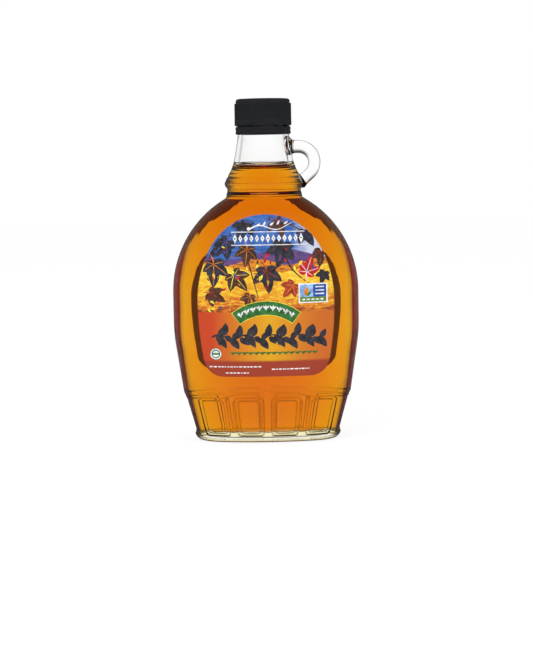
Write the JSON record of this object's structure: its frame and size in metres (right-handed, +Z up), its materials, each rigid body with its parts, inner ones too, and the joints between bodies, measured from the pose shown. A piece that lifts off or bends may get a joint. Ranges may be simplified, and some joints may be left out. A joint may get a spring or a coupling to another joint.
{
  "type": "maple syrup bottle",
  "caption": "Flat oval glass syrup flask with a ring handle on its neck, a screw closure and a label on each face, filled with amber syrup.",
  "frame": {"origin": "middle of the foot, on the surface the flask stands on", "axes": "+Z up, the front label faces -Y, the ring handle is on the +X side of the neck"},
  "size_m": [0.0984, 0.0508, 0.1803],
  "materials": {
    "clear_glass": "polished, colourless container glass",
    "syrup": "clear amber liquid",
    "black_plastic": "black moulded plastic, satin",
    "label_paper_front": "coated paper, printed in amber, green and maroon",
    "label_paper_back": "coated paper, printed in plain brown"
  },
  "bodies": {
    "root": {"glass": "clear_glass", "syrup": "syrup", "cap": "black_plastic", "label_front": "label_paper_front", "label_back": "label_paper_back"}
  },
  "joints": []
}
